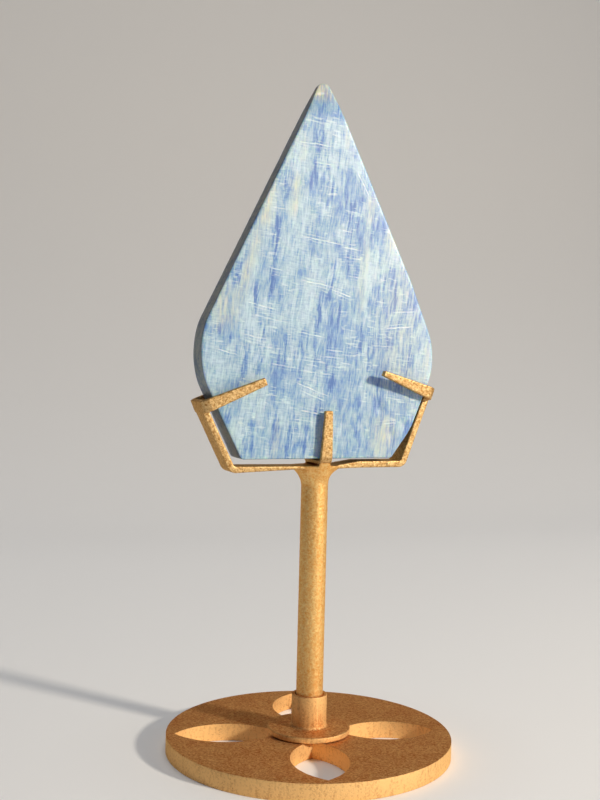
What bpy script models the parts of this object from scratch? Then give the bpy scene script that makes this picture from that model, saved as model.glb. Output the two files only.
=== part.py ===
# Kyanite slab on a gold painted iron stand.
# The round foot stands on z = 0 with its centre at the origin. The front of the
# stone faces -Y, the arms of the cradle reach out along X, and +Z is up.

import math

import bmesh
import bpy
from mathutils import Matrix, Vector

MM = 0.001
GAP = 0.3 * MM

# Foot: a flat disc with four pointed oval openings.
PLATE_RADIUS = 50.0 * MM
PLATE_THICKNESS = 6.0 * MM
PLATE_EDGE = 0.6 * MM
PETAL_TURN = math.radians(-12.6)
PETAL_INNER = 10.5 * MM
# How far each opening reaches from the centre: front, right, back and left.
PETAL_OUTERS = (47.0 * MM, 44.8 * MM, 46.6 * MM, 47.0 * MM)
PETAL_WIDTH = 19.5 * MM
PETAL_CHAMFER = 0.5 * MM

# Socket: a thin flange and a short tube that the rod drops into.
FLANGE_RADIUS = 14.5 * MM
FLANGE_THICKNESS = 2.0 * MM
COLLAR_RADIUS = 6.2 * MM
COLLAR_HEIGHT = 11.4 * MM
BORE_RADIUS = 5.15 * MM
SOCKET_FILLET = 0.9 * MM
SOCKET_EDGE = 0.4 * MM

# Rod, with the weld that flares out under the cradle and laps up its edges.
ROD_RADIUS = 4.72 * MM
ROD_CHAMFER = 0.5 * MM
FLARE_START = 93.0 * MM
FLARE_HEIGHT = 6.2 * MM
HEAD_LEFT = 8.0 * MM
HEAD_RIGHT = 10.4 * MM
HEAD_HALF_Y = 6.4 * MM
HEAD_REACHES = (HEAD_LEFT, HEAD_RIGHT, HEAD_HALF_Y)
HEAD_TOP = 100.4 * MM

# Cradle: one flat strip on edge to the viewer, bent up at both ends.
CRADLE_DEPTH = 9.6 * MM
STRIP_THICKNESS = 2.3 * MM
STRIP_THIN = 1.1 * MM
BEND_RADIUS = 2.0 * MM
CRADLE_LEFT_TOP = (-40.9 * MM, 118.0 * MM)
CRADLE_LEFT_CORNER = (-31.5 * MM, 99.0 * MM)
CRADLE_MIDDLE_LEFT = (-8.0 * MM, 99.6 * MM)
CRADLE_MIDDLE_RIGHT = (5.0 * MM, 99.7 * MM)
CRADLE_RISE = (15.0 * MM, 100.7 * MM)
CRADLE_RIGHT_CORNER = (31.5 * MM, 100.8 * MM)
CRADLE_RIGHT_TOP = (39.9 * MM, 123.6 * MM)

# Claws: a tapered strip bent round the edge of the stone at the top of each arm.
CLAW_THICKNESS = 2.0 * MM
CLAW_INSIDE = 6.6 * MM
CLAW_ROOT_WIDTH = 4.3 * MM
CLAW_BEND = 2.0 * MM
# Length, rise, splay and width at the tip of each claw's fingers.
CLAW_LEFT_FINGERS = (22.4 * MM, math.radians(23.1), 0.6 * MM, 2.6 * MM)
CLAW_RIGHT_FINGERS = (21.5 * MM, math.radians(18.6), 3.2 * MM, 1.9 * MM)

# Prongs: a cross strip over the cradle, its two ends bent up.
PRONG_THICKNESS = 1.5 * MM
PRONG_OUTSIDE = 9.2 * MM
PRONG_TOP = 119.5 * MM
# Width and place across the stand, at the foot and at the tip of the prongs.
PRONG_BASE_WIDTH = 4.2 * MM
PRONG_BASE_X = 0.9 * MM
PRONG_TIP_WIDTH = 2.8 * MM
PRONG_TIP_X = 1.4 * MM
PRONG_BEND = 2.4 * MM

# Stone: corners of the outline as x, z and rounding radius, clockwise as seen
# from the front. The first two are the ends of the blunt tip.
STONE_CORNERS = (
    (-2.2 * MM, 232.9 * MM, 2.2 * MM),
    (1.2 * MM, 232.5 * MM, 0.8 * MM),
    (33.5 * MM, 164.5 * MM, 40.0 * MM),
    (43.9 * MM, 138.9 * MM, 23.0 * MM),
    (33.7 * MM, 113.4 * MM, 22.0 * MM),
    (26.3 * MM, 103.1 * MM, 1.2 * MM),
    (-28.9 * MM, 102.6 * MM, 1.6 * MM),
    (-46.9 * MM, 138.5 * MM, 28.0 * MM),
)
STONE_BOTTOM = 102.6 * MM
STONE_TOP = 232.8 * MM
STONE_HALF_BOTTOM = 6.5 * MM
STONE_HALF_TOP = 3.6 * MM
STONE_BEVEL = 0.6 * MM
# The faces are worn towards each other over the last of the tip.
TIP_CORNERS = 2
TIP_WEAR_HEIGHT = 13.0 * MM
TIP_WEAR = 0.75
TIP_WEAR_CURVE = 1.5

ROUND_STEPS = 96
ROD_STEPS = 48
ARC_STEPS = 6
PETAL_STEPS = 14
FLARE_STEPS = 8
TIP_STEPS = 5
WEAR_STEPS = 4
SHOULDER_STEPS = 12
EDGE_STEPS = 3


def clear_scene():
    for item in list(bpy.data.objects):
        bpy.data.objects.remove(item)


def material(name, colour, metallic, roughness):
    made = bpy.data.materials.new(name)
    made.use_nodes = True
    shader = made.node_tree.nodes["Principled BSDF"]
    shader.inputs["Base Color"].default_value = (*colour, 1.0)
    shader.inputs["Metallic"].default_value = metallic
    shader.inputs["Roughness"].default_value = roughness
    return made


def add_object(name, shell, made_material, crease_degrees=30.0):
    """Turn a bmesh into a named object, smooth apart from its sharp edges."""
    bmesh.ops.recalc_face_normals(shell, faces=shell.faces)
    mesh = bpy.data.meshes.new(name)
    shell.to_mesh(mesh)
    shell.free()
    mesh.shade_smooth()
    mesh.set_sharp_from_angle(angle=math.radians(crease_degrees))
    item = bpy.data.objects.new(name, mesh)
    bpy.context.scene.collection.objects.link(item)
    if made_material:
        mesh.materials.append(made_material)
    return item


def loft(rings):
    """Bridge closed rings of equal length, one after the other, and cap the ends."""
    shell = bmesh.new()
    rows = [[shell.verts.new(point) for point in ring] for ring in rings]
    count = len(rows[0])
    for lower, upper in zip(rows, rows[1:]):
        for i in range(count):
            j = (i + 1) % count
            shell.faces.new((lower[i], lower[j], upper[j], upper[i]))
    shell.faces.new(list(reversed(rows[0])))
    shell.faces.new(rows[-1])
    return shell


def turned(profile, steps):
    """Turn a closed profile of radius and height about the Z axis."""
    shell = bmesh.new()
    corners = [shell.verts.new((radius, 0.0, height)) for radius, height in profile]
    edges = [shell.edges.new((a, b)) for a, b in zip(corners, corners[1:] + corners[:1])]
    bmesh.ops.spin(
        shell,
        geom=corners + edges,
        cent=(0.0, 0.0, 0.0),
        axis=(0.0, 0.0, 1.0),
        angle=math.tau,
        steps=steps,
        use_merge=True,
    )
    bmesh.ops.remove_doubles(shell, verts=shell.verts, dist=0.001 * MM)
    return shell


def rounded_corner(before, corner, after, radius, steps=ARC_STEPS):
    """Points of an arc of the given radius that replaces a corner of a 2-D path."""
    corner = Vector(corner)
    to_before = (Vector(before) - corner).normalized()
    to_after = (Vector(after) - corner).normalized()
    half_angle = to_before.angle(to_after) / 2.0
    reach = radius / math.tan(half_angle)
    centre = corner + (to_before + to_after).normalized() * (radius / math.sin(half_angle))
    start = corner + to_before * reach - centre
    end = corner + to_after * reach - centre
    sweep = start.angle_signed(end)
    return [centre + Matrix.Rotation(-sweep * i / steps, 2) @ start for i in range(steps + 1)]


def bent_path(corners, radius):
    """A 2-D path through corners, with every corner between its ends rounded."""
    path = [Vector(corners[0])]
    for before, corner, after in zip(corners, corners[1:], corners[2:]):
        path += rounded_corner(before, corner, after, radius)
    path.append(Vector(corners[-1]))
    return path


def strip(path, widths, thicknesses, place):
    """A flat strip that follows a 2-D path; place turns u, v and width into x, y, z."""
    rings = []
    for i, point in enumerate(path):
        ahead = path[min(i + 1, len(path) - 1)]
        behind = path[max(i - 1, 0)]
        along = (ahead - behind).normalized()
        across = Vector((-along.y, along.x)) * (thicknesses[i] / 2.0)
        half = widths[i] / 2.0
        rings.append([
            place(point + across, -half),
            place(point + across, half),
            place(point - across, half),
            place(point - across, -half),
        ])
    return loft(rings)


def soften(item, width):
    """A small bevel along every sharp edge."""
    bevel = item.modifiers.new("softened edges", "BEVEL")
    bevel.width = width
    bevel.segments = 2
    bevel.limit_method = "ANGLE"
    bevel.angle_limit = math.radians(40.0)


def petal_ring(outer, turn, grow, height):
    """Outline of one pointed oval opening, two equal arcs between its tips."""
    half_length = (outer - PETAL_INNER) / 2.0
    half_width = PETAL_WIDTH / 2.0
    radius = (half_length ** 2 + half_width ** 2) / (2.0 * half_width)
    sink = radius - half_width
    middle = (outer + PETAL_INNER) / 2.0
    radius += grow
    limit = math.acos(sink / radius)
    ring = []
    for side in (1.0, -1.0):
        for i in range(PETAL_STEPS):
            angle = side * limit * (1.0 - 2.0 * i / PETAL_STEPS)
            reach = middle + radius * math.sin(angle)
            offset = side * (radius * math.cos(angle) - sink)
            # The front of the foot is -Y.
            ring.append(Matrix.Rotation(turn, 3, "Z") @ Vector((offset, -reach, height)))
    return ring


def circle(radius, height):
    turns = [math.tau * i / ROUND_STEPS for i in range(ROUND_STEPS)]
    return [(radius * math.cos(turn), radius * math.sin(turn), height) for turn in turns]


def make_plate(gold):
    edge = PLATE_EDGE
    rim = (
        (PLATE_RADIUS - edge, 0.0),
        (PLATE_RADIUS, edge),
        (PLATE_RADIUS, PLATE_THICKNESS - edge),
        (PLATE_RADIUS - edge, PLATE_THICKNESS),
    )
    plate = add_object("base_plate", loft([circle(*step) for step in rim]), gold)
    past = 1.0 * MM
    for number, outer in enumerate(PETAL_OUTERS):
        turn = PETAL_TURN + math.tau * number / len(PETAL_OUTERS)
        levels = (
            (PETAL_CHAMFER + past, -past),
            (0.0, PETAL_CHAMFER),
            (0.0, PLATE_THICKNESS - PETAL_CHAMFER),
            (PETAL_CHAMFER + past, PLATE_THICKNESS + past),
        )
        rings = [petal_ring(outer, turn, grow, height) for grow, height in levels]
        cutter = add_object(f"petal_cutter_{number + 1}", loft(rings), None)
        cutter.hide_render = True
        cutter.display_type = "WIRE"
        cut = plate.modifiers.new(f"petal {number + 1}", "BOOLEAN")
        cut.object = cutter
        cut.operation = "DIFFERENCE"
        cut.solver = "EXACT"
    return plate


def make_socket(gold):
    bottom = PLATE_THICKNESS + GAP
    flange_top = bottom + FLANGE_THICKNESS
    top = flange_top + COLLAR_HEIGHT
    profile = [(BORE_RADIUS, bottom), (FLANGE_RADIUS - SOCKET_EDGE, bottom)]
    profile += [(FLANGE_RADIUS, bottom + SOCKET_EDGE), (FLANGE_RADIUS, flange_top - SOCKET_EDGE)]
    profile += [(FLANGE_RADIUS - SOCKET_EDGE, flange_top)]
    for i in range(ARC_STEPS + 1):
        angle = math.radians(90.0) * i / ARC_STEPS
        profile.append((
            COLLAR_RADIUS + SOCKET_FILLET * (1.0 - math.sin(angle)),
            flange_top + SOCKET_FILLET * (1.0 - math.cos(angle)),
        ))
    profile += [(COLLAR_RADIUS, top - SOCKET_EDGE), (COLLAR_RADIUS - SOCKET_EDGE, top)]
    profile += [(BORE_RADIUS, top)]
    return add_object("socket", turned(profile, ROD_STEPS), gold)


def head_ring(height, left, right, half_y, squareness):
    """A closed ring that runs from a circle, 0, to a rounded square, 1."""
    power = 2.0 / (2.0 + 3.0 * squareness)
    ring = []
    for i in range(ROD_STEPS):
        angle = math.tau * i / ROD_STEPS
        c = math.cos(angle)
        s = math.sin(angle)
        x = (right if c > 0.0 else left) * math.copysign(abs(c) ** power, c)
        y = half_y * math.copysign(abs(s) ** power, s)
        ring.append((x, y, height))
    return ring


def round_ring(height, radius):
    return head_ring(height, radius, radius, radius, 0.0)


def make_post(gold, cradle_slot):
    foot = PLATE_THICKNESS + GAP
    rings = [
        round_ring(foot, ROD_RADIUS - ROD_CHAMFER),
        round_ring(foot + ROD_CHAMFER, ROD_RADIUS),
        round_ring(FLARE_START, ROD_RADIUS),
    ]
    for i in range(1, FLARE_STEPS + 1):
        share = i / FLARE_STEPS
        swell = share ** 2
        reaches = [ROD_RADIUS + (reach - ROD_RADIUS) * swell for reach in HEAD_REACHES]
        rings.append(head_ring(FLARE_START + FLARE_HEIGHT * share, *reaches, swell))
    rings.append(head_ring(HEAD_TOP - GAP, *HEAD_REACHES, 1.0))
    rings.append(head_ring(HEAD_TOP, *[reach - GAP for reach in HEAD_REACHES], 1.0))
    post = add_object("post", loft(rings), gold)
    cut = post.modifiers.new("seat of the cradle", "BOOLEAN")
    cut.object = cradle_slot
    cut.operation = "DIFFERENCE"
    cut.solver = "EXACT"
    cut.use_self = True
    return post


def cradle_path():
    corners = [
        CRADLE_LEFT_TOP,
        CRADLE_LEFT_CORNER,
        CRADLE_MIDDLE_LEFT,
        CRADLE_MIDDLE_RIGHT,
        CRADLE_RISE,
        CRADLE_RIGHT_CORNER,
        CRADLE_RIGHT_TOP,
    ]
    return bent_path(corners, BEND_RADIUS)


def cradle_thickness(path):
    """Full at the bends and along the arms, thin where the strip crosses the rod."""
    values = []
    for point in path:
        if point.x < CRADLE_MIDDLE_LEFT[0]:
            span = CRADLE_MIDDLE_LEFT[0] - CRADLE_LEFT_CORNER[0]
            away = (CRADLE_MIDDLE_LEFT[0] - point.x) / span
        elif point.x > CRADLE_MIDDLE_RIGHT[0]:
            span = CRADLE_RISE[0] - CRADLE_MIDDLE_RIGHT[0]
            away = (point.x - CRADLE_MIDDLE_RIGHT[0]) / span
        else:
            away = 0.0
        values.append(STRIP_THIN + (STRIP_THICKNESS - STRIP_THIN) * min(away, 1.0))
    return values


def in_xz(point, side):
    return Vector((point.x, side, point.y))


def make_cradle(gold):
    path = cradle_path()
    widths = [CRADLE_DEPTH] * len(path)
    cradle = add_object("cradle_strip", strip(path, widths, cradle_thickness(path), in_xz), gold)
    soften(cradle, 0.3 * MM)
    return cradle


def make_cradle_slot():
    """The room that the cradle takes in the head of the rod, one gap larger all round."""
    path = [point for point in cradle_path() if abs(point.x) < CRADLE_RIGHT_CORNER[0]]
    widths = [CRADLE_DEPTH + 2.0 * GAP] * len(path)
    # The slot is open at the top, so it is thick upwards only.
    room = 4.0 * MM
    thick = [thickness + 2.0 * GAP + room for thickness in cradle_thickness(path)]
    path = [point + Vector((0.0, room / 2.0)) for point in path]
    slot = add_object("cradle_slot_cutter", strip(path, widths, thick, in_xz), None)
    slot.hide_render = True
    slot.display_type = "WIRE"
    return slot


def make_claw(name, gold, arm_top, fingers):
    """A strip bent in a U round the edge of the stone, on the end of an arm."""
    length, rise, splay, tip_width = fingers
    inward = math.copysign(1.0, -arm_top[0])
    # The fingers run upwards and towards the middle of the stone, and the web lies square to them.
    finger = Vector((inward * math.cos(rise), math.sin(rise)))
    web = Vector((-inward * math.sin(rise), math.cos(rise)))
    half_web = CLAW_INSIDE + CLAW_THICKNESS / 2.0
    outer = -(STRIP_THICKNESS - CLAW_THICKNESS) / 2.0
    corners = [
        (outer + length, -half_web - splay),
        (outer, -half_web),
        (outer, half_web),
        (outer + length, half_web + splay),
    ]
    path = bent_path(corners, CLAW_BEND)
    origin = Vector(arm_top) + web * (1.5 * GAP + CLAW_ROOT_WIDTH / 2.0)

    def place(point, side):
        flat = origin + finger * point.x + web * side
        return Vector((flat.x, point.y, flat.y))

    widths = []
    for point in path:
        away = max(0.0, (point.x - outer - CLAW_BEND) / (length - CLAW_BEND))
        widths.append(CLAW_ROOT_WIDTH + (tip_width - CLAW_ROOT_WIDTH) * away)
    claw = add_object(name, strip(path, widths, [CLAW_THICKNESS] * len(path), place), gold)
    soften(claw, 0.35 * MM)
    return claw


def make_prongs(gold):
    """The cross strip under the stone; its ends stand up in front of it and behind it."""
    half = PRONG_OUTSIDE - PRONG_THICKNESS / 2.0
    floor = STONE_BOTTOM - GAP - PRONG_THICKNESS / 2.0
    corners = [(-half, PRONG_TOP), (-half, floor), (half, floor), (half, PRONG_TOP)]
    path = bent_path(corners, PRONG_BEND)

    def place(point, side):
        away = (point.y - floor) / (PRONG_TOP - floor)
        middle = PRONG_BASE_X + (PRONG_TIP_X - PRONG_BASE_X) * away
        return Vector((middle + side, point.x, point.y))

    widths = []
    for point in path:
        away = max(0.0, (point.y - floor) / (PRONG_TOP - floor))
        widths.append(PRONG_BASE_WIDTH + (PRONG_TIP_WIDTH - PRONG_BASE_WIDTH) * away)
    prongs = add_object("prong_strip", strip(path, widths, [PRONG_THICKNESS] * len(path), place), gold)
    soften(prongs, 0.3 * MM)
    return prongs


def worn_stretch(top, foot):
    """More points on a flank, over the height that the wear of the tip takes."""
    step = (foot - top).normalized() * (TIP_WEAR_HEIGHT / WEAR_STEPS)
    return [top + step * i for i in range(1, WEAR_STEPS)]


def stone_outline():
    """Points of the outline in the plane of the face, each rounded corner an arc."""
    count = len(STONE_CORNERS)
    points = []
    for i in range(count):
        before = STONE_CORNERS[i - 1][:2]
        after = STONE_CORNERS[(i + 1) % count][:2]
        x, z, radius = STONE_CORNERS[i]
        steps = SHOULDER_STEPS if radius > 10.0 * MM else TIP_STEPS
        points += rounded_corner(before, (x, z), after, radius, steps)
    tip = TIP_CORNERS * (TIP_STEPS + 1)
    right_flank = worn_stretch(points[tip - 1], points[tip])
    left_flank = worn_stretch(points[0], points[-1])
    return points[:tip] + right_flank + points[tip:] + left_flank[::-1]


def half_thickness(height):
    """Half the slab's thickness, which falls evenly and then faster over the worn tip."""
    share = (height - STONE_BOTTOM) / (STONE_TOP - STONE_BOTTOM)
    half = STONE_HALF_BOTTOM + (STONE_HALF_TOP - STONE_HALF_BOTTOM) * share
    worn = max(0.0, 1.0 - (STONE_TOP - height) / TIP_WEAR_HEIGHT)
    return half * (1.0 - TIP_WEAR * worn ** TIP_WEAR_CURVE)


def inset_outline(points, inset):
    """Each point of a closed outline moved inwards by the inset."""
    moved = []
    count = len(points)
    for i, point in enumerate(points):
        along = (points[(i + 1) % count] - points[i - 1]).normalized()
        moved.append(point + Vector((along.y, -along.x)) * inset)
    return moved


def make_stone(kyanite):
    """A flat slab that gets thinner to its tip, its edges softly rounded."""
    outline = stone_outline()
    rings = []
    for side in (1.0, -1.0):
        layers = []
        for i in range(EDGE_STEPS + 1):
            angle = math.radians(90.0) * i / EDGE_STEPS
            inset = STONE_BEVEL * (1.0 - math.cos(angle))
            drop = STONE_BEVEL * (1.0 - math.sin(angle))
            layers.append([
                Vector((point.x, side * (half_thickness(point.y) - drop), point.y))
                for point in inset_outline(outline, inset)
            ])
        rings += layers if side < 0.0 else list(reversed(layers))
    return add_object("stone", loft(rings), kyanite)


def main():
    clear_scene()
    foot_gold = material("foot gold paint", (0.55, 0.24, 0.07), 0.85, 0.45)
    rod_gold = material("rod gold paint", (0.62, 0.32, 0.09), 0.9, 0.4)
    cradle_gold = material("cradle gold paint", (0.68, 0.36, 0.11), 0.9, 0.38)
    kyanite = material("polished kyanite", (0.32, 0.42, 0.62), 0.0, 0.35)
    make_plate(foot_gold)
    make_socket(foot_gold)
    make_post(rod_gold, make_cradle_slot())
    make_cradle(cradle_gold)
    make_claw("claw_left", cradle_gold, CRADLE_LEFT_TOP, CLAW_LEFT_FINGERS)
    make_claw("claw_right", cradle_gold, CRADLE_RIGHT_TOP, CLAW_RIGHT_FINGERS)
    make_prongs(cradle_gold)
    make_stone(kyanite)


main()
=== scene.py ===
# %% [markdown]
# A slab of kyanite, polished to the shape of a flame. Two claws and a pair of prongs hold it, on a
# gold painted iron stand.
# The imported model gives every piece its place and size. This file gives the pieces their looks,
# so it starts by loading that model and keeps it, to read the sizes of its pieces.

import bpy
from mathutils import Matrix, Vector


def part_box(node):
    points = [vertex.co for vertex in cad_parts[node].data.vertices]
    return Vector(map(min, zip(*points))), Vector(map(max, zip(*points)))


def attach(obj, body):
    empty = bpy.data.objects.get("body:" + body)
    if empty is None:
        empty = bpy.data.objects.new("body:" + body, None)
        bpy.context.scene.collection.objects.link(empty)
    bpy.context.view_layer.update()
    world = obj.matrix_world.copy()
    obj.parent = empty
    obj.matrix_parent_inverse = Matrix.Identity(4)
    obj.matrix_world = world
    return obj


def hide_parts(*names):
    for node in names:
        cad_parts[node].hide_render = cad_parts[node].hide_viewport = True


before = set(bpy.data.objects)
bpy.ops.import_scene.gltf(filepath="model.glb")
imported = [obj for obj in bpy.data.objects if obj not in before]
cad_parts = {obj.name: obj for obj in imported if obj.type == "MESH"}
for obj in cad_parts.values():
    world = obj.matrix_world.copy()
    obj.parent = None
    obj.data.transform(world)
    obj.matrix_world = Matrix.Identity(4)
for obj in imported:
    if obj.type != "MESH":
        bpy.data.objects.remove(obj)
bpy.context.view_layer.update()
print("pieces in the frame:", sorted(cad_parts))

# %% Units and modules
import math

import bmesh
import bpy
import numpy as np
from mathutils import Matrix, Vector

MM = 0.001

# %% [markdown]
# The camera is a phone held a little above the foot and tilted by about a degree. It stands about
# 390 mm from the rod, to the left of the stone's own front. A lens of 50 mm on a 36 mm sensor gives
# the same width of view. Its height, turn and tilt were found by laying the model over the picture.

# %% Camera
CAMERA_DISTANCE = 388.7 * MM
CAMERA_HEIGHT = 132.1 * MM
CAMERA_ROUND = math.radians(-20.6)
CAMERA_YAW = math.radians(-0.86)
CAMERA_PITCH = math.radians(1.37)
CAMERA_ROLL = math.radians(1.40)

level = Matrix.Rotation(math.radians(90.0), 4, "X")
aim = (
    Matrix.Rotation(CAMERA_ROUND - CAMERA_YAW, 4, "Z")
    @ Matrix.Rotation(-CAMERA_PITCH, 4, "X")
    @ level
    @ Matrix.Rotation(CAMERA_ROLL, 4, "Z")
)
stand_at = Matrix.Rotation(CAMERA_ROUND, 4, "Z") @ Vector((0.0, -CAMERA_DISTANCE, CAMERA_HEIGHT))

bpy.ops.object.camera_add()
camera = bpy.context.object
camera.name = "camera"
camera.matrix_world = Matrix.Translation(stand_at) @ aim
camera.data.sensor_width = 36.0
camera.data.lens = 49.95
camera.data.clip_start = 10.0 * MM
bpy.context.scene.camera = camera
print("camera at", [round(value / MM) for value in stand_at], "mm")

# %% [markdown]
# Every colour is written as the hex value that an eye dropper would show, and one function turns it
# into the linear numbers that the shaders work with. One more function adds a node to a material,
# with its settings and its links, so that a material reads from top to bottom like a recipe.

# %% Colours and nodes
def colour(hex_value):
    """A hex colour as linear red, green, blue and alpha."""
    shares = [int(hex_value[i:i + 2], 16) / 255.0 for i in (1, 3, 5)]
    linear = [v / 12.92 if v <= 0.04045 else ((v + 0.055) / 1.055) ** 2.4 for v in shares]
    return (*linear, 1.0)


def new_material(name):
    """An empty material with a Principled shader; returns the material, its tree and the shader."""
    made = bpy.data.materials.new(name)
    made.use_nodes = True
    return made, made.node_tree, made.node_tree.nodes["Principled BSDF"]


def add_node(tree, kind, settings=(), inputs=()):
    """Add a node, set its options, and give each input a value or the output that feeds it."""
    node = tree.nodes.new(kind)
    for name, value in dict(settings).items():
        setattr(node, name, value)
    for name, value in dict(inputs).items():
        if isinstance(value, bpy.types.NodeSocket):
            tree.links.new(value, node.inputs[name])
        else:
            node.inputs[name].default_value = value
    return node


# %% [markdown]
# In edit mode the work is always the same: select by a rule, then use a tool on what is selected.
# One function holds the first half. It reads the place or the normal of each vertex, edge or face.

# %% Select by a rule
def select_only(item, kind, rule):
    """In edit mode, select the vertices, edges or faces that the rule says yes to."""
    bpy.ops.mesh.select_mode(type=kind)
    bpy.ops.mesh.select_all(action="DESELECT")
    shell = bmesh.from_edit_mesh(item.data)
    parts = {"VERT": shell.verts, "EDGE": shell.edges, "FACE": shell.faces}[kind]
    for part in parts:
        if rule(part):
            part.select_set(True)
    bmesh.update_edit_mesh(item.data)


def use_modifier(item, kind, **settings):
    """Add a modifier with its settings and apply it at once."""
    modifier = item.modifiers.new(kind.lower(), kind)
    for name, value in settings.items():
        setattr(modifier, name, value)
    bpy.context.view_layer.objects.active = item
    bpy.ops.object.modifier_apply(modifier=modifier.name)


def piece(name, maker, scale=(1.0, 1.0, 1.0), **settings):
    """Start a piece from one of Blender's primitives, alone in the selection."""
    bpy.ops.object.select_all(action="DESELECT")
    maker(**settings)
    item = bpy.context.object
    item.name = name
    item.data.name = name
    item.scale = scale
    bpy.ops.object.transform_apply()
    return item


# %% [markdown]
# The stage is a sheet of pale paper that lies flat and sweeps up behind the object. The light is
# plain: a warm soft box low at the right stands for the sun of a late afternoon, and the grey world
# fills the shaded sides. That alone would leave the paper grey, so it has a soft light of its own,
# linked to it, which doesn't fall on the object. Past the paper the camera sees a plain pale wall.
# Standard tones keep the gold as bright and as warm as it is.

# %% Stage
PAPER_HALF_WIDTH = 1500.0 * MM
PAPER_FRONT = 800.0 * MM
PAPER_BACK = 900.0 * MM
PAPER_RISE = 1500.0 * MM
PAPER_BEND = 400.0 * MM

paper, tree, shader = new_material("pale matt paper")
shader.inputs["Base Color"].default_value = colour("#E9E8E6")
shader.inputs["Roughness"].default_value = 0.9

floor = piece(
    "paper_sweep",
    bpy.ops.mesh.primitive_plane_add,
    size=1.0,
    location=(0.0, (PAPER_BACK - PAPER_FRONT) / 2.0, 0.0),
    scale=(2.0 * PAPER_HALF_WIDTH, PAPER_BACK + PAPER_FRONT, 1.0),
)
bpy.ops.object.mode_set(mode="EDIT")
select_only(floor, "EDGE", lambda edge: all(v.co.y > PAPER_BACK - MM for v in edge.verts))
bpy.ops.mesh.extrude_region_move(TRANSFORM_OT_translate={"value": (0.0, 0.0, PAPER_RISE)})
select_only(floor, "EDGE", lambda edge: all(
    v.co.y > PAPER_BACK - MM and v.co.z < MM for v in edge.verts
))
bpy.ops.mesh.bevel(offset=PAPER_BEND, segments=16, affect="EDGES")
bpy.ops.object.mode_set(mode="OBJECT")
bpy.ops.object.shade_smooth()
floor.data.materials.append(paper)
print("paper sweep with", len(floor.data.polygons), "faces")

# %% Light
SUN_ROUND = math.radians(38.0)
SUN_HEIGHT = math.radians(19.5)
SUN_AWAY = 1200.0 * MM
OBJECT_MIDDLE = Vector((0.0, 0.0, 120.0 * MM))

to_sun = Vector((
    math.sin(SUN_ROUND) * math.cos(SUN_HEIGHT),
    -math.cos(SUN_ROUND) * math.cos(SUN_HEIGHT),
    math.sin(SUN_HEIGHT),
))
bpy.ops.object.light_add(type="AREA", location=OBJECT_MIDDLE + to_sun * SUN_AWAY)
soft_box = bpy.context.object
soft_box.name = "warm_soft_box"
soft_box.rotation_euler = to_sun.to_track_quat("Z", "Y").to_euler()
soft_box.data.shape = "DISK"
soft_box.data.size = 110.0 * MM
soft_box.data.energy = 13.6
soft_box.data.color = colour("#FFF5E6")[:3]

bpy.ops.object.light_add(type="SUN", location=(0.0, 0.0, 1000.0 * MM))
paper_light = bpy.context.object
paper_light.name = "paper_light"
paper_light.data.angle = math.radians(40.0)
paper_light.data.energy = 1.1
only_paper = bpy.data.collections.new("lit by the paper light")
only_paper.objects.link(floor)
paper_light.light_linking.receiver_collection = only_paper
print("soft box", round(soft_box.data.energy), "W at", [round(v, 2) for v in soft_box.location], "m")

# %% World
studio = bpy.data.worlds.new("grey studio")
studio.use_nodes = True
sky = studio.node_tree.nodes["Background"]
sky.inputs["Color"].default_value = colour("#A3B0CC")
sky.inputs["Strength"].default_value = 0.13
wall = add_node(
    studio.node_tree, "ShaderNodeBackground", {}, {"Color": colour("#BEBAB3"), "Strength": 1.0}
)
seen = add_node(studio.node_tree, "ShaderNodeLightPath")
sky_or_wall = add_node(studio.node_tree, "ShaderNodeMixShader", {}, {
    0: seen.outputs["Is Camera Ray"], 1: sky.outputs["Background"], 2: wall.outputs["Background"],
})
world_output = studio.node_tree.nodes["World Output"]
studio.node_tree.links.new(sky_or_wall.outputs["Shader"], world_output.inputs["Surface"])
bpy.context.scene.world = studio
bpy.context.scene.view_settings.view_transform = "Standard"
print("world with", len(studio.node_tree.nodes), "nodes")

# %% [markdown]
# The slab of kyanite. A lapidary saws a flat slab out of the rough, trims it to a flame with
# straight cuts, grinds the two shoulders round and then rubs all edges down and polishes the faces.
# The model goes the same way: a block is cut by planes, the corners are bevelled to their radius,
# two slanted cuts thin the slab to its tip, and a small bevel takes off the sharp rims.

# %% Slab: sizes
# Corners of the outline as x, z and rounding radius, clockwise as seen from the front. The first
# two are the ends of the blunt tip.
STONE_CORNERS = [
    (-2.2, 232.9, 2.2),
    (1.2, 232.5, 0.8),
    (33.5, 164.5, 40.0),
    (43.9, 138.9, 23.0),
    (33.7, 113.4, 22.0),
    (26.3, 103.1, 1.2),
    (-28.9, 102.6, 1.6),
    (-46.9, 138.5, 28.0),
]
stone_low, stone_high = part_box("stone")
STONE_HALF_TOP = 3.6 * MM
STONE_HALF_BOTTOM = (stone_high.y - stone_low.y) / 2.0
STONE_RIM = 0.6 * MM
CUT_MARGIN = 10.0 * MM
print("slab", [round((b - a) / MM, 1) for a, b in zip(stone_low, stone_high)], "mm")

# %% Slab: block and straight cuts
block_size = stone_high - stone_low + Vector((2.0, 2.0, 2.0)) * CUT_MARGIN
block_middle = (stone_high + stone_low) / 2.0
stone = piece(
    "kyanite_slab",
    bpy.ops.mesh.primitive_cube_add,
    size=1.0,
    location=block_middle,
    scale=block_size,
)
bpy.ops.object.mode_set(mode="EDIT")


def saw(place, normal):
    """Cut everything away on the side that the normal points to, and close the cut."""
    bpy.ops.mesh.select_all(action="SELECT")
    bpy.ops.mesh.bisect(
        plane_co=place,
        plane_no=Vector(normal).normalized(),
        use_fill=True,
        clear_outer=True,
        threshold=0.001 * MM,
    )


for start, end in zip(STONE_CORNERS, STONE_CORNERS[1:] + STONE_CORNERS[:1]):
    edge_from = Vector((start[0], 0.0, start[1])) * MM
    edge_to = Vector((end[0], 0.0, end[1])) * MM
    run = edge_to - edge_from
    saw(edge_from, (-run.z, 0.0, run.x))

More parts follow.
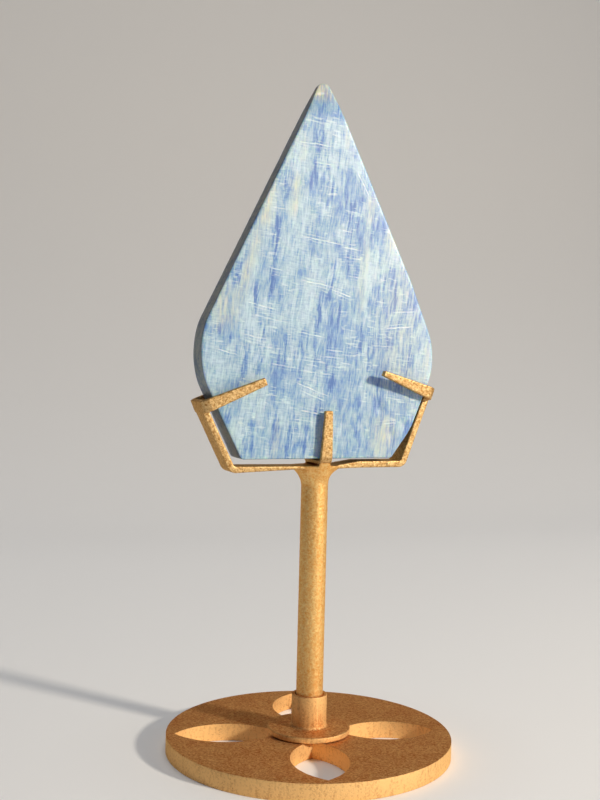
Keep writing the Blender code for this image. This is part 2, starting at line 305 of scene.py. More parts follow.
for side in (-1.0, 1.0):
    foot_of_face = Vector((0.0, side * STONE_HALF_BOTTOM, stone_low.z))
    top_of_face = Vector((0.0, side * STONE_HALF_TOP, stone_high.z))
    up_the_face = top_of_face - foot_of_face
    saw(foot_of_face, (0.0, side * up_the_face.z, -side * up_the_face.y))
bpy.ops.object.mode_set(mode="OBJECT")
print("slab after the saw:", len(stone.data.polygons), "faces")

# %% Slab: round corners and rubbed rims
# A corner with a larger radius than this, in mm, is a shoulder and gets more segments.
SHOULDER_RADIUS = 10.0
SHOULDER_SEGMENTS = 24
CORNER_SEGMENTS = 6
RIM_SEGMENTS = 3

bpy.ops.object.mode_set(mode="EDIT")
for number, (x, z, radius) in enumerate(STONE_CORNERS):
    corner = Vector((x, z))
    before = Vector(STONE_CORNERS[number - 1][:2])
    after = Vector(STONE_CORNERS[(number + 1) % len(STONE_CORNERS)][:2])
    half_angle = (before - corner).angle(after - corner) / 2.0
    select_only(stone, "EDGE", lambda edge: all(
        (Vector((v.co.x, v.co.z)) / MM - corner).length < 0.05 for v in edge.verts
    ))
    bpy.ops.mesh.bevel(
        offset=radius / math.tan(half_angle) * MM,
        segments=SHOULDER_SEGMENTS if radius > SHOULDER_RADIUS else CORNER_SEGMENTS,
        affect="EDGES",
        clamp_overlap=False,
    )


def is_rim(edge):
    """An edge between a broad face and the narrow side of the slab."""
    flatness = [abs(face.normal.y) for face in edge.link_faces]
    return max(flatness) > 0.9 and min(flatness) < 0.5


select_only(stone, "EDGE", is_rim)
bpy.ops.mesh.bevel(offset=STONE_RIM, segments=RIM_SEGMENTS, affect="EDGES", clamp_overlap=False)
bpy.ops.object.mode_set(mode="OBJECT")
print("slab with its rims:", len(stone.data.polygons), "faces")

# %% [markdown]
# Fractures, chips and wear need many small faces. A voxel remesh would make them at once, but it
# rounds the rims unevenly. Slicing the slab by parallel planes keeps every edge where it is and
# lets the slices be closer along the height, where the fine cross fractures lie.

# %% Slab: slices for the fine relief
SLICE_X = 1.5 * MM
SLICE_Z = 0.9 * MM
SLICE_Y = 2.2 * MM


def slice_along(item, axis, low, high, step):
    """Cut an item into slices without taking anything away."""
    count = int((high - low) / step)
    normal = Vector((0.0, 0.0, 0.0))
    normal[axis] = 1.0
    for i in range(1, count + 1):
        place = normal * (low + (high - low) * i / (count + 1))
        bpy.ops.mesh.select_all(action="SELECT")
        bpy.ops.mesh.bisect(plane_co=place, plane_no=normal, threshold=0.001 * MM)


bpy.ops.object.mode_set(mode="EDIT")
slice_along(stone, 1, stone_low.y, stone_high.y, SLICE_Y)
slice_along(stone, 0, stone_low.x, stone_high.x, SLICE_X)
slice_along(stone, 2, stone_low.z, stone_high.z, SLICE_Z)
bpy.ops.object.mode_set(mode="OBJECT")
use_modifier(stone, "SUBSURF", subdivision_type="SIMPLE", levels=1, render_levels=1)
print("slab sliced:", len(stone.data.polygons), "faces")

# %% [markdown]
# Kyanite grows in long thin blades, so its colour runs in streaks along the slab, here leaning a few
# degrees to the right. Deep blue and pale blades lie side by side, iron stains some of them cream,
# and fine fractures cross them. Small streaks follow a noise. The ones that an eye remembers are a
# short list, as a painter would place them: where they lie, how wide and how strong.

# %% Slab: streaks of colour
LEAN = 0.1
# Blue blades: x at the middle, lowest z, highest z, half width, all in mm, and strength.
BLUE_BLADES = [
    (-25.0, 151, 164, 1.1, 1.0), (2.3, 157, 171, 1.2, 1.0), (-1.8, 146, 161, 1.0, 0.8),
    (5.2, 147, 159, 1.0, 0.5), (27.0, 153, 166, 1.3, 0.7), (-28.0, 127, 148, 1.3, 0.6),
    (-22.6, 129, 153, 1.2, 0.9), (-14.0, 128, 146, 1.1, 0.5), (3.2, 121, 139, 1.0, 0.5),
    (-3.0, 125, 144, 1.0, 0.6), (24.5, 135, 148, 1.2, 0.4), (32.3, 129, 145, 1.2, 0.6),
    (14.2, 136, 154, 1.4, 0.5), (-34.5, 114, 124, 1.0, 0.5), (-10.5, 101, 120, 2.2, 0.35),
    (-6.0, 103, 119, 1.6, 0.3), (-17.0, 108, 122, 1.3, 0.5), (-2.3, 208, 220, 1.1, 0.8),
    (-0.4, 195, 213, 1.5, 0.6), (-5.0, 188, 207, 1.0, 0.6), (1.8, 186, 202, 1.1, 0.7),
    (-14.3, 188, 205, 1.6, 0.8), (-18.0, 168, 187, 1.2, 1.0), (-30.0, 160, 175, 1.5, 0.6),
    (9.0, 176, 193, 1.1, 0.5), (17.3, 175, 191, 1.1, 0.3), (3.0, 216, 228, 1.2, 0.3),
    (-8.0, 214, 225, 1.8, 0.2), (-20.0, 157, 171, 1.2, 0.4), (-9.0, 126, 150, 1.6, 0.4),
    # The last one, wide and weak, is painted shade: it darkens the right part of the face, where the soft
    # box falls more strongly.
    (27.0, 104, 198, 11.0, 0.28),
]
# Pale and cream blades, the same way.
CREAM_BLADES = [
    (-36.0, 144, 163, 3.0, 0.8), (23.0, 101, 119, 4.5, 0.9), (-21.0, 180, 197, 2.0, 0.9),
    (-16.8, 101, 117, 1.4, 0.5), (39.5, 124, 152, 1.8, 0.6),
    (-11.2, 184, 202, 1.6, 0.9), (17.2, 184, 197, 1.8, 0.8), (25.0, 174, 188, 1.8, 0.9),
    (8.0, 209, 224, 1.2, 0.6), (14.5, 150, 184, 1.4, 0.6), (-8.6, 203, 215, 1.1, 0.5),
    (30.0, 105, 195, 9.0, 0.4),
]
PALE_BLADES = [
    (17.0, 100, 172, 2.6, 0.4), (-31.5, 105, 128, 3.0, 0.4), (20.5, 146, 184, 3.5, 0.3),
    (-24.5, 152, 182, 1.6, 0.5), (8.5, 100, 130, 2.0, 0.4), (-39.5, 122, 146, 2.4, 0.5),
    (0.0, 170, 184, 3.0, 0.4), (33.0, 148, 172, 2.4, 0.3), (12.0, 196, 214, 2.4, 0.5),
    (0.0, 210, 230, 5.0, 0.5), (-18.0, 99, 122, 9.0, 0.4),
]
# One pale seam runs upright through most of the slab.
PALE_SEAM = [(15.6, 108, 206, 0.9, 1.5)]
PALE_SEAM_LEAN = 0.005
# One cream band leans with the left edge of the slab.
CREAM_BAND = [(-26.0, 144, 202, 1.8, 0.8)]
CREAM_BAND_LEAN = 0.28
# Fractures: x and z of both ends, in mm, and strength.
FRACTURES = [
    (-9.0, 164.2, 3.5, 162.2, 1.0), (2.0, 161.6, 10.5, 159.0, 0.9), (-30.0, 156.2, -17.0, 153.6, 0.8),
    (26.0, 154.4, 34.5, 155.0, 0.8), (21.0, 148.4, 34.5, 149.8, 1.0), (-11.0, 146.6, 1.0, 144.6, 0.7),
    (-30.0, 145.0, -20.0, 143.4, 0.7), (-39.0, 139.8, -30.0, 137.6, 0.7), (-20.0, 135.4, -8.0, 133.6, 0.5),
    (-10.0, 129.0, 2.5, 124.4, 0.9), (-9.0, 126.6, 1.0, 122.8, 0.6), (-11.0, 211.4, 3.0, 210.7, 0.9),
    (-5.0, 204.8, 4.5, 204.3, 0.7), (-9.0, 179.2, 8.0, 176.9, 0.9), (6.0, 176.4, 13.5, 175.4, 0.7),
    (-19.5, 188.3, -14.5, 187.9, 0.6), (11.0, 203.6, 17.0, 193.4, 0.6), (0.5, 140.6, 12.0, 139.6, 0.5),
    (4.0, 182.6, 11.0, 181.4, 0.5), (-21.0, 150.6, -12.0, 149.2, 0.5), (-20.5, 167.8, -15.0, 167.0, 0.5),
    (22.5, 124.6, 31.0, 123.4, 0.5), (19.5, 114.8, 28.0, 115.6, 0.5), (-12.0, 120.5, 2.0, 117.5, 0.6),
    (-13.0, 116.8, 0.0, 115.2, 0.5), (-8.0, 133.0, 4.0, 131.8, 0.5), (6.5, 173.0, 14.5, 172.2, 0.7),
    (7.5, 170.4, 14.5, 170.0, 0.6), (8.0, 166.4, 15.0, 165.8, 0.5), (0.0, 138.2, 8.0, 137.6, 0.6),
    (1.0, 134.8, 9.0, 134.4, 0.5), (-24.0, 141.0, -14.0, 140.2, 0.5), (18.0, 142.6, 27.0, 142.2, 0.5),
]
print(len(BLUE_BLADES), "blue,", len(CREAM_BLADES), "cream,", len(PALE_BLADES), "pale marks")

# %% [markdown]
# Marks and fractures are stored in the mesh as one number for each point, which the material reads.
# A picture wrapped round the slab would do it too, but it would smear over the rims. The blades of
# the back are scattered by chance, from fixed seeds, because nobody has to recognise them.

# %% Slab: ways to lay a mark

def points_of(item):
    """The vertices of an item as rows of x, y and z in mm."""
    flat = np.empty(len(item.data.vertices) * 3)
    item.data.vertices.foreach_get("co", flat)
    return flat.reshape(-1, 3) / MM


def blades(points, marks, lean):
    """How strongly a list of long marks colours each point."""
    total = np.zeros(len(points))
    for x, low, high, half_width, strength in marks:
        along = (points[:, 2] - (low + high) / 2.0) / ((high - low) / 2.0)
        aside = (points[:, 0] - x) - lean * (points[:, 2] - (low + high) / 2.0)
        total += strength * np.exp(-((aside / half_width) ** 2)) * np.clip(1.0 - along ** 2, 0.0, 1.0)
    return total


def nearest_line(points, marks):
    """The signed distance, in mm, from each point to the nearest of many lines, and its strength."""
    nearest = np.full(len(points), np.inf)
    distance = np.zeros(len(points))
    strength = np.zeros(len(points))
    for x_from, z_from, x_to, z_to, line_strength in marks:
        run = np.array((x_to - x_from, z_to - z_from))
        length = np.linalg.norm(run)
        away = points[:, (0, 2)] - np.array((x_from, z_from))
        share = away @ run / length ** 2
        side = (away[:, 1] * run[0] - away[:, 0] * run[1]) / length
        past_end = np.clip(np.abs(share - 0.5) - 0.5, 0.0, None) * length
        gap = np.hypot(side, past_end)
        closer = gap < nearest
        nearest[closer] = gap[closer]
        distance[closer] = side[closer]
        strength[closer] = (line_strength * np.clip(6.0 * share * (1.0 - share), 0.0, 1.0))[closer]
    return distance, strength


def scattered_blades(seed, count, strength):
    """More blades at random places, for the back of the slab and between the chosen ones."""
    chance = np.random.default_rng(seed)
    marks = []
    for _ in range(count):
        middle = chance.uniform(stone_low.z, stone_high.z) / MM
        length = chance.uniform(5.0, 14.0)
        x = chance.uniform(stone_low.x, stone_high.x) / MM
        marks.append((x, middle - length, middle + length, chance.uniform(0.6, 1.5), strength))
    return marks


def set_strength(item, name, values):
    """Store one number for each vertex, for the material to read."""
    attribute = item.data.attributes.new(name, "FLOAT", "POINT")
    attribute.data.foreach_set("value", values.astype(np.float32))


# %% Slab: lay the marks
# Scattered blades: seed, number and strength.
BLUE_BETWEEN = (3, 60, 0.22)
BLUE_BEHIND = (5, 70, 0.6)
CREAM_BEHIND = (8, 24, 0.7)
PALE_BEHIND = (9, 40, 0.5)
# The front marks fade into the back ones over this many mm of the thickness.
FADE_THROUGH = 6.0
# The tip is stained cream: from which height, over how many mm, and how strongly.
TIP_STAIN_FROM = 225.0
TIP_STAIN_FADE = 4.0
TIP_STAIN = 1.4

points = points_of(stone)
front = np.clip(0.5 - points[:, 1] / FADE_THROUGH, 0.0, 1.0)
back = 1.0 - front
between = blades(points, scattered_blades(*BLUE_BETWEEN), LEAN)
blue = front * (blades(points, BLUE_BLADES, LEAN) + between)
blue += back * blades(points, scattered_blades(*BLUE_BEHIND), LEAN)
cream = front * (blades(points, CREAM_BLADES, LEAN) + blades(points, CREAM_BAND, CREAM_BAND_LEAN))
cream += back * blades(points, scattered_blades(*CREAM_BEHIND), LEAN)
cream += TIP_STAIN * np.clip((points[:, 2] - TIP_STAIN_FROM) / TIP_STAIN_FADE, 0.0, 1.0)
pale = front * (blades(points, PALE_BLADES, LEAN) + blades(points, PALE_SEAM, PALE_SEAM_LEAN))
pale += back * blades(points, scattered_blades(*PALE_BEHIND), LEAN)
front_crack = nearest_line(points, FRACTURES)
# The back has the same fractures, mirrored, a little higher and tilted by a millimetre.
behind = [(-c, d + 4.0, -a, b + 3.0, e) for a, b, c, d, e in FRACTURES]
back_crack = nearest_line(points, behind)
on_front = points[:, 1] < 0.0
crack_distance = np.where(on_front, front_crack[0], back_crack[0])
crack = np.where(on_front, front_crack[1], back_crack[1])
for name, values in (
    ("blue", blue),
    ("cream", cream),
    ("pale", pale),
    ("crack_distance", crack_distance),
    ("crack", crack),
):
    set_strength(stone, name, values)
    print(name, "reaches", round(float(values.max()), 2))

# %% Slab: relief
# Small hollows in the face: x, z, radius and depth in mm.
PITS = [
    (21.5, 121.0, 1.3, 0.35),
    (31.0, 115.5, 1.6, 0.3),
    (26.0, 111.0, 1.0, 0.25),
    (-2.2, 229.5, 1.8, 0.3),
    (33.5, 118.0, 0.8, 0.3),
    (-24.0, 118.0, 0.7, 0.25),
]
# How many times longer a hollow is along the blades than across them.
PIT_STRETCH = 1.6
# A hollow only moves points further than this, in mm, from the middle of the thickness.
FACE_FROM = 2.0
TIP_WEAR_HEIGHT = 13.0
TIP_WEAR = 0.75
TIP_WEAR_CURVE = 1.5
SWELL_SIZE = 9.0 * MM
SWELL_DEPTH = 0.16 * MM

points = points_of(stone)
shift = np.zeros(len(points))
for x, z, radius, depth in PITS:
    away = np.hypot(points[:, 0] - x, (points[:, 2] - z) / PIT_STRETCH) / radius
    shift -= front * depth * np.exp(-away ** 2)
worn = np.clip(1.0 - (stone_high.z / MM - points[:, 2]) / TIP_WEAR_HEIGHT, 0.0, 1.0)
points[:, 1] *= 1.0 - TIP_WEAR * worn ** TIP_WEAR_CURVE
points[:, 1] += np.sign(points[:, 1]) * shift * (np.abs(points[:, 1]) > FACE_FROM)
stone.data.vertices.foreach_set("co", (points * MM).ravel())
stone.data.update()

swell = bpy.data.textures.new("slow swell of the polish", "CLOUDS")
swell.noise_scale = SWELL_SIZE
use_modifier(
    stone, "DISPLACE", texture=swell, texture_coords="LOCAL", strength=SWELL_DEPTH, mid_level=0.5
)
bpy.ops.object.select_all(action="DESELECT")
stone.select_set(True)
bpy.ops.object.shade_smooth()
print("slab relief on", len(stone.data.vertices), "points")

# %% [markdown]
# Polished kyanite, a blue aluminium silicate with a refractive index of about 1.72. Its blades are
# split into fibres of some tenths of a millimetre, drawn at 0.9 mm by 6 mm, as fine as shows here,
# with a crystal grain of 0.5 mm by 3 mm between them. Strands of 2 mm, bands of 5 mm and fields of
# 15 mm carry the change from pale to blue. Light goes a few millimetres deep, so the shadows on the
# stone are blue and soft. The polish is satin, because the fibres and the cross fractures keep it
# from a mirror gloss. The narrow sides are painted darker than the faces, as painted shade.
# A fracture shows as a broken white line with a few thinner ones beside it. The mesh only stores
# how far away it is, so the line can be finer than the faces.

# %% Material: polished kyanite
kyanite, tree, shader = new_material("polished kyanite")
LEAN_ANGLE = math.atan(LEAN)
WANDER = 2.6 * MM
WANDER_SIZE = 26.0 * MM

place_on_stone = add_node(tree, "ShaderNodeTexCoord")
place = place_on_stone.outputs["Object"]
aside = add_node(
    tree, "ShaderNodeTexNoise", {}, {"Vector": place, "Scale": 1.0 / WANDER_SIZE, "Detail": 1.0}
).outputs["Color"]
wandering = add_node(
    tree,
    "ShaderNodeVectorMath",
    {"operation": "MULTIPLY_ADD"},
    {0: aside, 1: (WANDER, WANDER, 0.0), 2: place},
).outputs["Vector"]


def streaks(width, depth, length, detail=2.0, roughness=0.5):
    """A noise drawn out along the blades; the sizes are in mm."""
    along = add_node(
        tree,
        "ShaderNodeMapping",
        {"vector_type": "TEXTURE"},
        {
            "Vector": wandering,
            "Rotation": (0.0, LEAN_ANGLE, 0.0),
            "Scale": (width * MM, depth * MM, length * MM),
        },
    ).outputs["Vector"]
    return add_node(
        tree,
        "ShaderNodeTexNoise",
        {},
        {"Vector": along, "Scale": 1.0, "Detail": detail, "Roughness": roughness},
    ).outputs["Fac"]


def layered(start, *layers):
    """A start value plus each layer times its weight, which may be a pattern too."""
    total = start
    for layer, weight in layers:
        total = add_node(
            tree, "ShaderNodeMath", {"operation": "MULTIPLY_ADD"}, {0: layer, 1: weight, 2: total}
        ).outputs["Value"]
    return total


def masked(start, *masks):
    """A start value times each mask.

    A mask is a pattern, the range of it that counts, and the shares that are kept at both ends.
    """
    total = start
    for pattern, low, high, share_low, share_high in masks:
        share = add_node(
            tree,
            "ShaderNodeMapRange",
            {"interpolation_type": "SMOOTHSTEP"},
            {"Value": pattern, "From Min": low, "From Max": high, "To Min": share_low, "To Max": share_high},
        ).outputs["Result"]
        total = add_node(
            tree, "ShaderNodeMath", {"operation": "MULTIPLY"}, {0: total, 1: share}
        ).outputs["Value"]
    return total


marks = {
    name: add_node(tree, "ShaderNodeAttribute", {"attribute_name": name}).outputs["Fac"]
    for name in ("blue", "cream", "pale", "crack_distance", "crack")
}
grains = streaks(0.5, 1.5, 3.0, 2.5, 0.6)
fibres = streaks(0.9, 2.5, 6.0, 3.0, 0.55)
strands = streaks(2.0, 4.0, 22.0)
bands = streaks(5.0, 8.0, 55.0, 1.0)
fields = streaks(15.0, 15.0, 60.0, 1.0)

# %% Kyanite: fractures
# Half the width of the main line and of the thinner ones, half the distance between those, and
# how far from the main line they still show, all in mm.
MAIN_LINE_HALF = 0.336
LINE_HALF = 0.24
LINE_STEP = 0.5
LINE_SPREAD = 2.4

wavering = layered(-0.3, (marks["crack_distance"], 1.0), (streaks(3.0, 3.0, 3.0), 0.6))
far = add_node(tree, "ShaderNodeMath", {"operation": "ABSOLUTE"}, {0: wavering}).outputs["Value"]
ripple = add_node(
    tree, "ShaderNodeMath", {"operation": "PINGPONG"}, {0: wavering, 1: LINE_STEP}
).outputs["Value"]
main_line = masked(
    1.0,
    (far, 0.0, MAIN_LINE_HALF, 1.0, 0.0),
    (streaks(2.2, 3.0, 2.0), 0.4, 0.56, 0.15, 0.95),
)
side_lines = masked(
    1.0,
    (ripple, 0.0, LINE_HALF, 0.7, 0.0),
    (far, 0.3, LINE_SPREAD, 1.0, 0.0),
    (streaks(3.5, 3.0, 1.6), 0.4, 0.52, 0.0, 1.0),
)
cracks = layered(0.0, (marks["crack"], main_line), (marks["crack"], side_lines))
ladders = masked(
    1.0,
    (streaks(4.0, 2.0, 0.7, 1.0), 0.56, 0.68, 0.0, 1.0),
    (streaks(6.0, 6.0, 9.0), 0.5, 0.62, 0.0, 1.0),
)
hatching = masked(
    streaks(3.2, 2.0, 0.5, 2.5, 0.6),
    (streaks(9.0, 9.0, 14.0), 0.4, 0.62, 0.35, 1.2),
)
print("fractures with", len(tree.nodes), "nodes so far")

# %% Kyanite: colour and polish
PALEST = -0.955

blue_fibres = masked(marks["blue"], (fibres, 0.37, 0.6, 0.05, 1.3))
depth_of_blue = layered(
    PALEST,
    (grains, 1.2),
    (fibres, 1.0),
    (strands, 0.55),
    (bands, 0.38),
    (fields, 0.25),
    (hatching, -0.8),
    (blue_fibres, 0.6),
    (marks["pale"], -0.3),
    (ladders, -0.28),
)
blues = add_node(tree, "ShaderNodeValToRGB", {}, {"Fac": depth_of_blue})
stops = blues.color_ramp.elements
stops[0].position, stops[0].color = 0.0, colour("#C6DEEA")
stops[1].position, stops[1].color = 1.0, colour("#3E73BE")
for position, shade in ((0.27, "#B0CCDD"), (0.52, "#93B7D3"), (0.75, "#6D9ACF")):
    stops.new(position).color = colour(shade)

cream_share = masked(marks["cream"], (fibres, 0.3, 0.62, 1.0, 0.35))
stained = add_node(
    tree,
    "ShaderNodeMix",
    {"data_type": "RGBA"},
    {0: cream_share, 6: blues.outputs["Color"], 7: colour("#D8DBC9")},
).outputs[2]
white_share = layered(cracks, (ladders, 0.3))
surface = add_node(
    tree, "ShaderNodeMix", {"data_type": "RGBA"}, {0: white_share, 6: stained, 7: colour("#E2EEEE")}
).outputs[2]
facing = add_node(tree, "ShaderNodeSeparateXYZ", {}, {0: place_on_stone.outputs["Normal"]}).outputs["Y"]
flatness = add_node(tree, "ShaderNodeMath", {"operation": "ABSOLUTE"}, {0: facing}).outputs["Value"]
# The narrow sides are multiplied by a warm grey: painted shade.
painted_shade_on_sides = add_node(
    tree,
    "ShaderNodeMix",
    {"data_type": "RGBA", "blend_type": "MULTIPLY"},
    {0: masked(1.0, (flatness, 0.35, 0.75, 1.0, 0.0)), 6: surface, 7: colour("#B4AC9C")},
).outputs[2]
tree.links.new(painted_shade_on_sides, shader.inputs["Base Color"])
tree.links.new(layered(0.34, (fibres, 0.2)), shader.inputs["Roughness"])
shader.inputs["IOR"].default_value = 1.72
shader.inputs["Subsurface Weight"].default_value = 0.6
shader.inputs["Subsurface Radius"].default_value = (0.2, 0.6, 2.2)
shader.inputs["Subsurface Scale"].default_value = 4.0 * MM
relief = layered(0.0, (fibres, 1.0), (grains, 0.6), (cracks, -1.2))
bump = add_node(
    tree, "ShaderNodeBump", {}, {"Strength": 0.35, "Distance": 0.08 * MM, "Height": relief}
).outputs["Normal"]
tree.links.new(bump, shader.inputs["Normal"])
stone.data.materials.append(kyanite)
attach(stone, "holder")
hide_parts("stone")
print("kyanite with", len(tree.nodes), "nodes")

# %% [markdown]
# The stand is mild steel: a cut disc, a turned socket, a rod and flat strips, bent cold and welded,
# then sprayed with gold enamel. The spray leaves a fine grain and rounds every edge a little. So
# each strip is bent from a line, drawn out to its width and given its thickness. A voxel remesh
# then melts its weld beads into it, a smoothing pass rounds the edges and a small noise raises the
# grain of the paint in the mesh itself.

# %% Paint coat
PAINT_GRAIN = 0.9 * MM
grain = bpy.data.textures.new("grain of the paint", "CLOUDS")
grain.noise_scale = PAINT_GRAIN
grain.noise_depth = 1


def paint_coat(item, voxel, passes, depth):
    """Melt a piece into one skin, round its edges and raise the grain of the paint."""
    use_modifier(item, "REMESH", mode="VOXEL", voxel_size=voxel)
    use_modifier(item, "SMOOTH", factor=0.5, iterations=passes)
    use_modifier(item, "DISPLACE", texture=grain, texture_coords="LOCAL", strength=depth, mid_level=0.5)
    bpy.ops.object.select_all(action="DESELECT")
    item.select_set(True)
    bpy.ops.object.shade_smooth()
    print(item.name, "has", len(item.data.polygons), "faces after painting")


def join_into(item, other):
    """Make another mesh part of an item."""
    bpy.ops.object.select_all(action="DESELECT")
    item.select_set(True)
    other.select_set(True)
    bpy.context.view_layer.objects.active = item
    bpy.ops.object.join()


def weld_bead(item, place, size):
    """Join one lump of weld metal to an item, before it is painted."""
    bead = piece(
        "bead",
        bpy.ops.mesh.primitive_ico_sphere_add,
        subdivisions=3,
        radius=1.0,
        location=place * MM,
        scale=Vector(size) * MM,
    )
    join_into(item, bead)


def belongs(item, body, slot, *nodes):
    """Give a piece its body and hide the CAD nodes that it stands for; the slot is not used."""
    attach(item, body)
    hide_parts(*nodes)


# %% [markdown]
# A strip that is bent cold keeps its length on a line through its middle. The line is drawn first,
# corner by corner, and a bevel on its vertices rounds each bend. Both the cradle and the claws and
# prongs are such strips. The fingers get narrower to their tips, as if trimmed with shears.

# %% Bend a strip
def bend_reach(before, corner, after, radius):
    """How far a bend of the given radius reaches along its two legs."""
    half_angle = (before - corner).angle(after - corner) / 2.0
    return radius / math.tan(half_angle)


def bent_strip(name, corners, bend, across, thickness, tip_width=None, tip_shift=0.0, thinning=None):
    """A strip through the corners, in mm; across is its width as a vector.

    Its ends can be trimmed to a tip width and shifted, and thinning gives a share of the
    thickness for each place.
    """
    corners = [Vector(corner) * MM for corner in corners]
    across = Vector(across) * MM
    strip = piece(name, bpy.ops.mesh.primitive_plane_add, size=MM, location=corners[0])
    bpy.ops.object.mode_set(mode="EDIT")
    bpy.ops.mesh.select_mode(type="VERT")
    bpy.ops.mesh.select_all(action="SELECT")
    bpy.ops.mesh.merge(type="CENTER")
    for here, there in zip(corners, corners[1:]):
        bpy.ops.mesh.extrude_region_move(TRANSFORM_OT_translate={"value": there - here})
    for before, corner, after in zip(corners, corners[1:], corners[2:]):
        reach = bend_reach(before, corner, after, bend * MM)
        if reach > 0.3 * MM:
            select_only(strip, "VERT", lambda vertex: (vertex.co - corner).length < 0.02 * MM)
            bpy.ops.mesh.bevel(offset=reach, segments=8, affect="VERTICES", clamp_overlap=False)
    bpy.ops.mesh.select_all(action="SELECT")
    bpy.ops.transform.translate(value=across * -0.5)
    bpy.ops.mesh.extrude_region_move(TRANSFORM_OT_translate={"value": across})
    if tip_width:
        trim = across.normalized() * (across.length - tip_width * MM) / 2.0
        shift = across.normalized() * (tip_shift * MM)
        for end in (corners[0], corners[-1]):
            for side in (-1.0, 1.0):
                place = end + across * (0.5 * side)
                select_only(strip, "VERT", lambda vertex: (vertex.co - place).length < 0.02 * MM)
                bpy.ops.transform.translate(value=shift - trim * side)
    bpy.ops.mesh.select_all(action="SELECT")
    bpy.ops.mesh.normals_make_consistent()
    bpy.ops.object.mode_set(mode="OBJECT")
    share = strip.vertex_groups.new(name="share of the thickness")
    for vertex in strip.data.vertices:
        share.add([vertex.index], thinning(vertex.co / MM) if thinning else 1.0, "REPLACE")
    use_modifier(
        strip,
        "SOLIDIFY",
        thickness=thickness * MM,
        offset=0.0,
        use_even_offset=True,
        vertex_group=share.name,
        thickness_vertex_group=0.0,
    )
    strip.vertex_groups.clear()
    return strip


# %% [markdown]
# The cradle is one flat bar, 9.6 mm deep and a little over 2 mm thick, on edge to the viewer. It is
# bent up at both ends and was hammered thin where it crosses the rod. On the right it was cut and
# welded on again, which leaves a seam a few millimetres before its corner.

# %% Cradle
CRADLE_CORNERS = [
    (-40.9, 0.0, 118.0),
    (-31.5, 0.0, 99.0),
    (-8.0, 0.0, 99.6),
    (5.0, 0.0, 99.7),
    (15.0, 0.0, 100.7),
    (31.5, 0.0, 100.8),
    (39.9, 0.0, 123.6),
]
CRADLE_DEPTH = 9.6
CRADLE_THICKNESS = 2.3
CRADLE_THIN = 1.1
CRADLE_BEND = 2.0
SEAM_X = 25.8
SEAM_BEAD = (0.9, 1.5, 1.28)
STRIP_VOXEL = 0.26 * MM
STRIP_GRAIN = 0.1 * MM


def hammered(place):
    """Share of the full thickness: it falls evenly from the corners to the rod."""
    x_corner, x_left, x_right, x_rise = (CRADLE_CORNERS[i][0] for i in (1, 2, 3, 4))
    if place.x < x_left:
        away = (x_left - place.x) / (x_left - x_corner)
    else:
        away = (place.x - x_right) / (x_rise - x_right)
    thin = CRADLE_THIN / CRADLE_THICKNESS
    return thin + (1.0 - thin) * min(max(away, 0.0), 1.0)


cradle = bent_strip(
    "cradle_bar",
    CRADLE_CORNERS,
    CRADLE_BEND,
    (0.0, CRADLE_DEPTH, 0.0),
    CRADLE_THICKNESS,
    thinning=hammered,
)
for y in (-3.6, 0.0, 3.6):
    weld_bead(cradle, Vector((SEAM_X, y, CRADLE_CORNERS[5][2])), SEAM_BEAD)
paint_coat(cradle, STRIP_VOXEL, 2, STRIP_GRAIN)
belongs(cradle, "holder", "cradle_gold", "cradle_strip")

# %% [markdown]
# Each claw is a strip bent to a U round the edge of the stone, its web welded to the end of an arm.
# The weld was ground flush on the left, so arm and claw are one face there, and a small bead of it
# still shows on the right. So the web runs a little way down over the end of its arm.

# %% Claws
CLAW_THICKNESS = 2.0
CLAW_INSIDE = 6.6
CLAW_ROOT = 4.3
CLAW_BEND = 2.0
CLAW_GAP = 0.45
# Arm end, and the fingers' length, rise in degrees, splay and width at the tip, in mm.
CLAWS = {
    "left": (CRADLE_CORNERS[0], 22.4, 23.1, 0.6, 2.6),
    "right": (CRADLE_CORNERS[-1], 21.5, 18.6, 3.2, 1.9),
}

for side, (arm_top, length, rise, splay, tip_width) in CLAWS.items():
    inward = math.copysign(1.0, -arm_top[0])
    rise = math.radians(rise)
    finger = Vector((inward * math.cos(rise), 0.0, math.sin(rise)))
    up_the_web = Vector((-inward * math.sin(rise), 0.0, math.cos(rise)))
    web = Vector(arm_top) + up_the_web * (CLAW_GAP + CLAW_ROOT / 2.0)
    web -= finger * (CRADLE_THICKNESS - CLAW_THICKNESS) / 2.0
    half = CLAW_INSIDE + CLAW_THICKNESS / 2.0
    out = Vector((0.0, half, 0.0))
    out_at_tip = Vector((0.0, half + splay, 0.0))
    corners = [web + finger * length - out_at_tip, web - out, web + out, web + finger * length + out_at_tip]
    claw = bent_strip(
        f"claw_{side}_strip", corners, CLAW_BEND, up_the_web * CLAW_ROOT, CLAW_THICKNESS, tip_width
    )
    joint = piece(
        "joint",
        bpy.ops.mesh.primitive_cube_add,
        size=1.0,
        location=(Vector(arm_top) + up_the_web * CLAW_GAP) * MM,
        rotation=(0.0, math.atan2(up_the_web.x, up_the_web.z), 0.0),
        scale=Vector((CRADLE_THICKNESS, CRADLE_DEPTH, 2.0)) * MM,
    )
    join_into(claw, joint)
    paint_coat(claw, STRIP_VOXEL, 2, STRIP_GRAIN)
    belongs(claw, "holder", "cradle_gold", f"claw_{side}")

# %% [markdown]
# The prongs are the two ends of one short strip that lies across the cradle under the stone.

# %% Prongs
PRONG_THICKNESS = 1.5
PRONG_OUTSIDE = 9.2
PRONG_TOP = 119.5
PRONG_ROOT = 4.2
PRONG_ROOT_X = 0.9
PRONG_TIP = 2.8
PRONG_TIP_X = 1.4
PRONG_BEND = 2.4
STONE_GAP = 0.3

